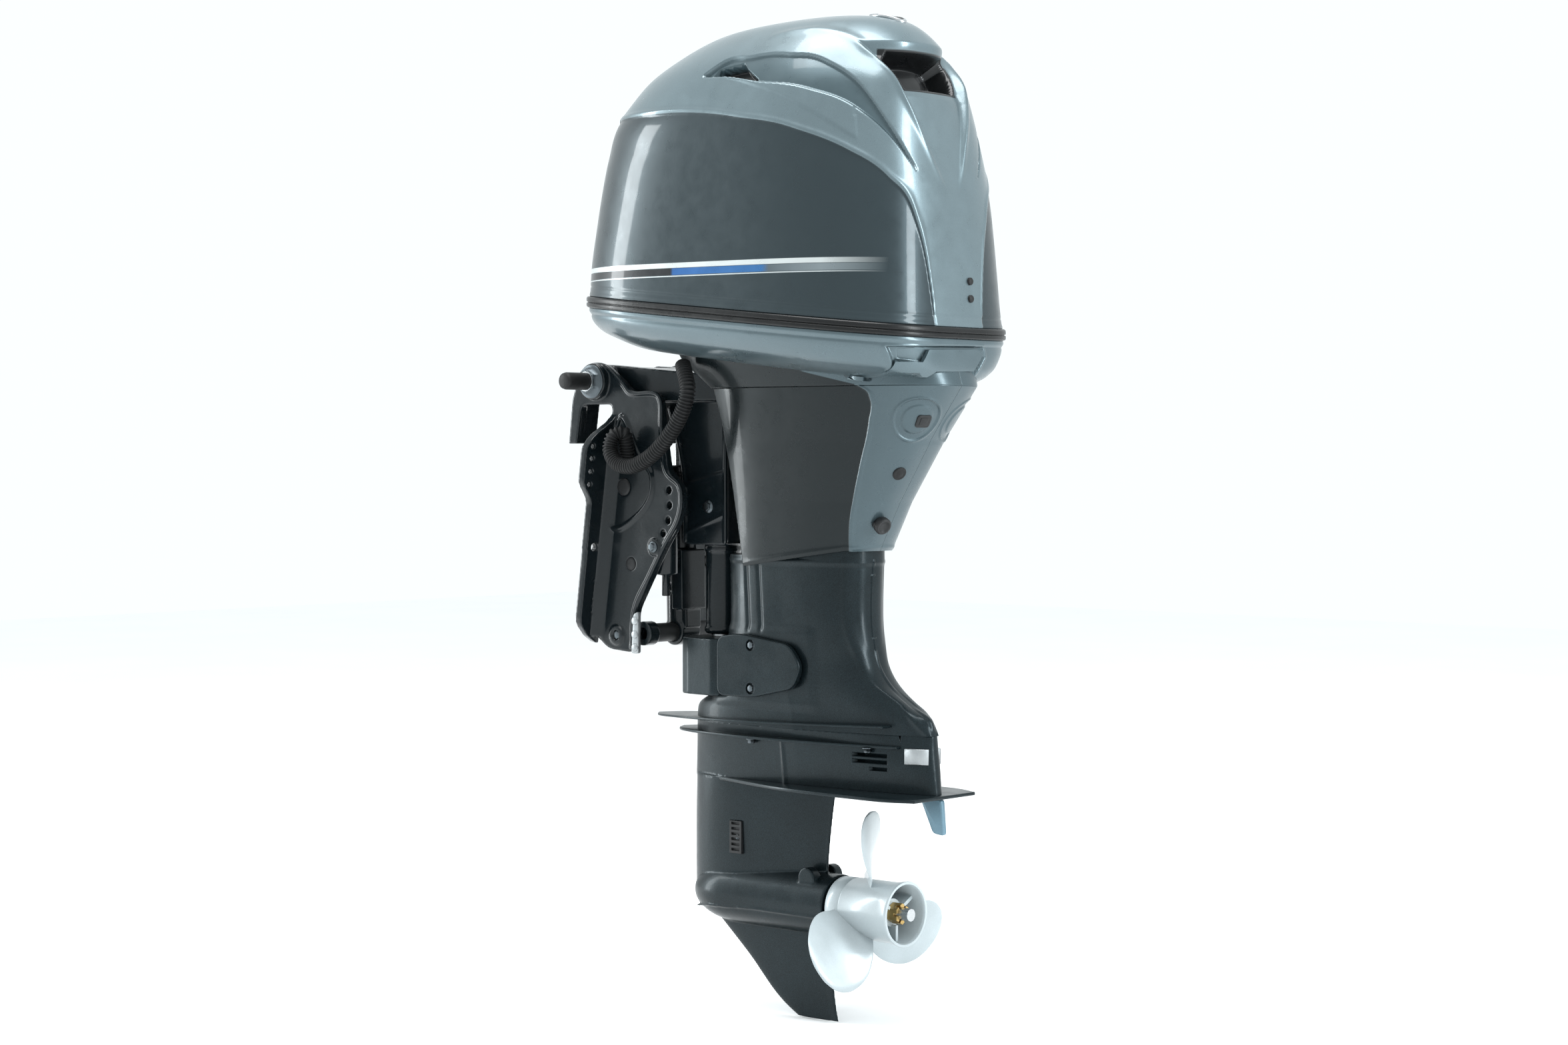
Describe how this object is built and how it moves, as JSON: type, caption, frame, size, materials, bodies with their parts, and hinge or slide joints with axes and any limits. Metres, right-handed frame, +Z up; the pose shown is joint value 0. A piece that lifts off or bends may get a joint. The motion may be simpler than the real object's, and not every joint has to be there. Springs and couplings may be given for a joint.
{
  "type": "outboard motor",
  "caption": "Long-shaft outboard boat motor with lift-off cowling, power trim and tilt clamp brackets, gearcase with shift clutch and a three-blade propeller.",
  "frame": {"origin": "on the centreline where the clamp brackets' transom face meets the underside of their hooks, which is where the boat's transom top sits", "axes": "+X aft, +Y to starboard, +Z up"},
  "size_m": [0.6818, 0.3832, 1.423],
  "materials": {
    "cowl_paint": "gloss metallic",
    "apron_paint": "satin",
    "case_paint": "metallic paint over cast aluminium",
    "bracket_paint": "gloss paint over cast aluminium",
    "engine_paint": "satin paint over cast aluminium",
    "black_plastic": "satin",
    "black_rubber": "matt",
    "raw_alloy": "cast",
    "steel": "machined",
    "cast_iron": "machined",
    "propeller_paint": "light grey paint over aluminium",
    "brass": "machined"
  },
  "bodies": {
    "clamp": {"port_clamp_bracket": "bracket_paint", "starboard_clamp_bracket": "bracket_paint", "tilt_tube": "steel", "port_tilt_nut": "steel", "starboard_tilt_nut": "steel", "tilt_tube_cap": "black_rubber", "lower_cross_tube": "bracket_paint", "port_bracket_anode": "raw_alloy", "starboard_bracket_anode": "raw_alloy"},
    "tilt_cylinder": {"tilt_cylinder": "bracket_paint", "tilt_motor": "bracket_paint"},
    "tilt_rod": {"tilt_rod": "steel"},
    "swivel": {"swivel_bracket": "bracket_paint", "rigging_hose_lower": "black_rubber"},
    "support_lever": {"tilt_support_lever": "steel"},
    "outboard": {"kingpin": "steel", "steering_bracket": "bracket_paint", "lower_mount_yoke": "case_paint", "port_lower_mount_cover": "case_paint", "starboard_lower_mount_cover": "case_paint", "upper_case": "case_paint", "exhaust_guide": "engine_paint", "oil_pan": "engine_paint", "port_apron": "apron_paint", "starboard_apron": "apron_paint", "idle_exhaust_port": "black_plastic", "flush_connector": "black_plastic", "bottom_cowling": "cowl_paint", "cowl_seal": "black_rubber", "gearcase": "case_paint", "trim_tab": "raw_alloy", "port_side_anode": "raw_alloy", "starboard_side_anode": "raw_alloy", "port_water_inlet": "black_plastic", "starboard_water_inlet": "black_plastic", "bearing_carrier": "raw_alloy", "water_pump_housing": "black_plastic", "engine_block": "engine_paint", "cylinder_head": "engine_paint", "head_cover": "engine_paint", "intake_manifold": "black_plastic", "starter_motor": "bracket_paint", "electrics_box": "black_plastic", "flywheel_cover": "black_plastic", "rigging_hose_upper": "black_rubber"},
    "crank": {"crankshaft": "steel", "flywheel": "cast_iron", "driveshaft": "steel", "water_pump_impeller": "black_rubber", "pinion_gear": "steel"},
    "propeller": {"propeller": "propeller_paint", "propeller_shaft": "steel", "propeller_nut": "brass"},
    "forward_gear": {"forward_gear": "steel"},
    "reverse_gear": {"reverse_gear": "steel"},
    "dog_clutch": {"dog_clutch": "steel"},
    "shift_rod": {"shift_rod": "steel"},
    "cowling": {"top_cowling": "cowl_paint"},
    "latch": {"cowl_latch_lever": "cowl_paint"},
    "rocker": {"trim_rocker_switch": "black_plastic"}
  },
  "joints": [
    {"name": "tilt", "type": "hinge", "parent": "clamp", "child": "swivel", "pos_m": [-0.033, 0, 0.034], "axis": [0, -1, 0], "range_deg": [0, 64], "deforming": ["rigging_hose_lower"]},
    {"name": "tilt_cylinder_pivot", "type": "hinge", "parent": "clamp", "child": "tilt_cylinder", "pos_m": [0.058, 0, -0.337], "axis": [0, -1, 0], "range_deg": [-5, 1]},
    {"name": "tilt_rod_slide", "type": "slide", "parent": "tilt_cylinder", "child": "tilt_rod", "axis": [-0.0198, 0, 0.9998], "range_m": [0, 0.115]},
    {"name": "support_lever_pivot", "type": "hinge", "parent": "swivel", "child": "support_lever", "pos_m": [0.02, 0.05, -0.008], "axis": [0, -1, 0], "range_deg": [0, 40]},
    {"name": "steering", "type": "hinge", "parent": "swivel", "child": "outboard", "pos_m": [0.142, 0, 0], "axis": [0, 0, 1], "range_deg": [-40, 40], "deforming": ["rigging_hose_upper"]},
    {"name": "crank_spin", "type": "hinge", "parent": "outboard", "child": "crank", "pos_m": [0.226, 0, 0], "axis": [0, 0, 1], "continuous": true},
    {"name": "propeller_spin", "type": "hinge", "parent": "outboard", "child": "propeller", "pos_m": [0.4, 0, -0.714], "axis": [1, 0, 0], "continuous": true},
    {"name": "forward_gear_spin", "type": "hinge", "parent": "outboard", "child": "forward_gear", "pos_m": [0.21, 0, -0.714], "axis": [1, 0, 0], "continuous": true},
    {"name": "reverse_gear_spin", "type": "hinge", "parent": "outboard", "child": "reverse_gear", "pos_m": [0.245, 0, -0.714], "axis": [1, 0, 0], "continuous": true},
    {"name": "shift", "type": "hinge", "parent": "outboard", "child": "shift_rod", "pos_m": [0.19, 0, -0.24], "axis": [0, 0, 1], "range_deg": [0, 35]},
    {"name": "clutch_slide", "type": "slide", "parent": "propeller", "child": "dog_clutch", "axis": [1, 0, 0], "range_m": [0, 0.0125]},
    {"name": "cowling_lift", "type": "slide", "parent": "outboard", "child": "cowling", "axis": [0, 0, 1], "range_m": [0, 0.4]},
    {"name": "latch_turn", "type": "hinge", "parent": "outboard", "child": "latch", "pos_m": [0.5405, -0.1275, 0.05], "axis": [0, 0, -1], "range_deg": [0, 35]},
    {"name": "rocker_tip", "type": "hinge", "parent": "outboard", "child": "rocker", "pos_m": [0.306, 0.189, 0.091], "axis": [1, 0, 0], "range_deg": [-5, 5], "stiffness_Nm_per_rad": 0.05}
  ],
  "couplings": [
    {"joint": "tilt_cylinder_pivot", "follows": "tilt", "ratio": -0.06},
    {"joint": "tilt_rod_slide", "follows": "tilt", "m_per_rad": 0.1},
    {"joint": "propeller_spin", "follows": "crank_spin", "ratio": 0.54167},
    {"joint": "forward_gear_spin", "follows": "crank_spin", "ratio": 0.54167},
    {"joint": "reverse_gear_spin", "follows": "crank_spin", "ratio": -0.54167},
    {"joint": "clutch_slide", "follows": "shift", "m_per_rad": 0.02}
  ]
}
